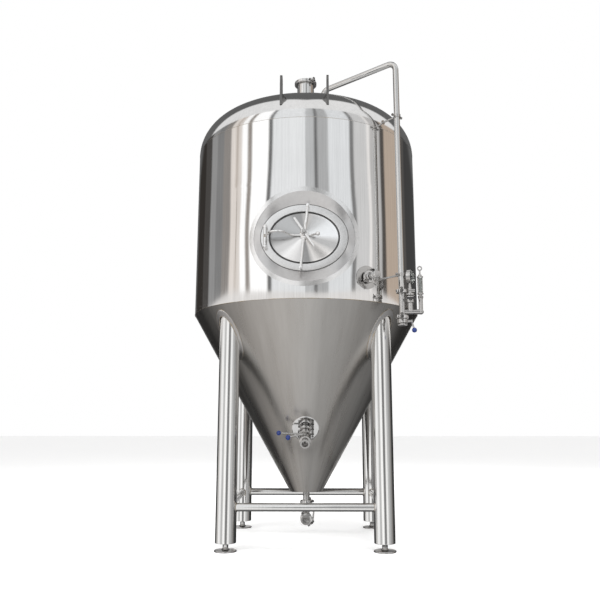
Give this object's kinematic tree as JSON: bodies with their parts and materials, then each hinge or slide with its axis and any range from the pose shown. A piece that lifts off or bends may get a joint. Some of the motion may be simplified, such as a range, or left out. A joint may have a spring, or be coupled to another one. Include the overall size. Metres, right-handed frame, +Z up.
{
  "type": "conical fermenter",
  "caption": "Insulated stainless brewing tank with a cone bottom on four legs, an oval manway, racking and bottom outlets, a sample tap and a cleaning line.",
  "frame": {"origin": "on the tank's vertical axis, on the floor under it", "axes": "+Z up the tank's axis, -Y to the manway side, +X to the cleaning line's side"},
  "size_m": [1.32, 1.4968, 2.695],
  "materials": {
    "polished_steel": "mirror polished stainless steel",
    "satin_steel": "satin brushed stainless steel",
    "machined_steel": "machined and polished stainless steel",
    "rubber_seal": "matt",
    "blue_plastic": "gloss",
    "black_plastic": "gloss",
    "clear_glass": "clear",
    "foam": "matt foam"
  },
  "bodies": {
    "tank": {"drum_cladding": "polished_steel", "cone_cladding": "satin_steel", "head_cladding": "satin_steel", "inner_vessel": "satin_steel", "cooling_jackets": "satin_steel", "insulation": "foam", "manway_recess_panel": "polished_steel", "manway_ring": "polished_steel", "manway_hinge_pin": "polished_steel", "manway_arm": "polished_steel", "leg_front_left": "polished_steel", "leg_front_right": "polished_steel", "leg_rear_left": "polished_steel", "leg_rear_right": "polished_steel", "cross_braces": "satin_steel", "side_braces": "satin_steel", "racking_port": "machined_steel", "racking_valve_body": "machined_steel", "outlet_pipe": "machined_steel", "outlet_elbow": "machined_steel", "outlet_valve_body": "machined_steel", "sample_port": "machined_steel", "sample_valve_body": "machined_steel", "cleaning_pipe": "polished_steel", "spray_ball": "machined_steel", "pipe_brackets": "machined_steel", "line_manifold": "machined_steel", "line_valve_body": "machined_steel", "gauge_riser": "machined_steel", "gauge_case": "machined_steel", "gauge_glass": "clear_glass", "relief_valve_body": "machined_steel", "relief_sight_glass": "clear_glass", "top_port": "polished_steel", "top_port_cap": "polished_steel", "lifting_lugs": "polished_steel", "thermowell": "machined_steel", "cooling_ports": "machined_steel", "pipe_clamps": "machined_steel", "clamp_gaskets": "rubber_seal"},
    "foot_front_left": {"foot_front_left": "machined_steel"},
    "foot_front_right": {"foot_front_right": "machined_steel"},
    "foot_rear_left": {"foot_rear_left": "machined_steel"},
    "foot_rear_right": {"foot_rear_right": "machined_steel"},
    "manway_lid": {"manway_lid": "polished_steel", "manway_gasket": "rubber_seal"},
    "manway_bridge": {"manway_bridge_bar": "polished_steel"},
    "manway_nut": {"manway_tee_nut": "polished_steel"},
    "racking_arm": {"racking_arm": "machined_steel", "racking_arm_ball": "blue_plastic"},
    "racking_valve": {"racking_valve_lever": "machined_steel", "racking_valve_ball": "blue_plastic"},
    "outlet_valve": {"outlet_valve_lever": "machined_steel", "outlet_valve_ball": "blue_plastic"},
    "line_valve": {"line_valve_lever": "machined_steel", "line_valve_ball": "blue_plastic"},
    "sample_knob": {"sample_valve_knob": "machined_steel"},
    "gauge_needle": {"gauge_needle": "machined_steel"},
    "gauge_tap": {"gauge_tap_handle": "black_plastic"},
    "relief_knob": {"relief_valve_knob": "machined_steel"}
  },
  "joints": [
    {"name": "foot_front_left_screw", "type": "hinge", "parent": "tank", "child": "foot_front_left", "pos_m": [-0.405, -0.405, 0], "axis": [0, 0, 1], "continuous": true},
    {"name": "foot_front_right_screw", "type": "hinge", "parent": "tank", "child": "foot_front_right", "pos_m": [0.405, -0.405, 0], "axis": [0, 0, 1], "continuous": true},
    {"name": "foot_rear_left_screw", "type": "hinge", "parent": "tank", "child": "foot_rear_left", "pos_m": [-0.405, 0.405, 0], "axis": [0, 0, 1], "continuous": true},
    {"name": "foot_rear_right_screw", "type": "hinge", "parent": "tank", "child": "foot_rear_right", "pos_m": [0.405, 0.405, 0], "axis": [0, 0, 1], "continuous": true},
    {"name": "manway_nut_turn", "type": "hinge", "parent": "tank", "child": "manway_nut", "pos_m": [0, -0.72, 1.59], "axis": [0, -1, 0], "range_deg": [0, 1800]},
    {"name": "manway_lid_push", "type": "slide", "parent": "tank", "child": "manway_lid", "axis": [0, 1, 0], "range_m": [0, 0.0201]},
    {"name": "manway_bridge_turn", "type": "hinge", "parent": "tank", "child": "manway_bridge", "pos_m": [0, -0.68, 1.59], "axis": [0, 1, 0], "range_deg": [0, 66]},
    {"name": "racking_arm_turn", "type": "hinge", "parent": "tank", "child": "racking_arm", "pos_m": [0, -0.3416, 0.58391], "axis": [0, -0.8701, -0.4929], "range_deg": [-90, 90]},
    {"name": "racking_valve_turn", "type": "hinge", "parent": "tank", "child": "racking_valve", "pos_m": [0, -0.39772, 0.55212], "axis": [0, -0.4929, 0.8701], "range_deg": [0, 90]},
    {"name": "outlet_valve_turn", "type": "hinge", "parent": "tank", "child": "outlet_valve", "pos_m": [0, -0.109, 0.119], "axis": [1, 0, 0], "range_deg": [0, 90]},
    {"name": "line_valve_turn", "type": "hinge", "parent": "tank", "child": "line_valve", "pos_m": [0.5055, -0.565, 1.1555], "axis": [1, 0, 0], "range_deg": [-90, 0]},
    {"name": "sample_knob_turn", "type": "hinge", "parent": "tank", "child": "sample_knob", "pos_m": [0.36439, -0.64406, 1.385], "axis": [0.4924, -0.8704, 0], "range_deg": [0, 540]},
    {"name": "gauge_needle_sweep", "type": "hinge", "parent": "tank", "child": "gauge_needle", "pos_m": [0.562, -0.566, 1.39], "axis": [0.891, -0.454, 0], "range_deg": [-270, 0]},
    {"name": "gauge_tap_turn", "type": "hinge", "parent": "tank", "child": "gauge_tap", "pos_m": [0.548, -0.6, 1.27], "axis": [0, -1, 0], "range_deg": [0, 90]},
    {"name": "relief_knob_turn", "type": "hinge", "parent": "tank", "child": "relief_knob", "pos_m": [0.602, -0.565, 1.4], "axis": [0, 0, 1], "range_deg": [0, 720]}
  ],
  "couplings": [
    {"joint": "manway_lid_push", "follows": "manway_nut_turn", "m_per_rad": 0.00063662}
  ]
}
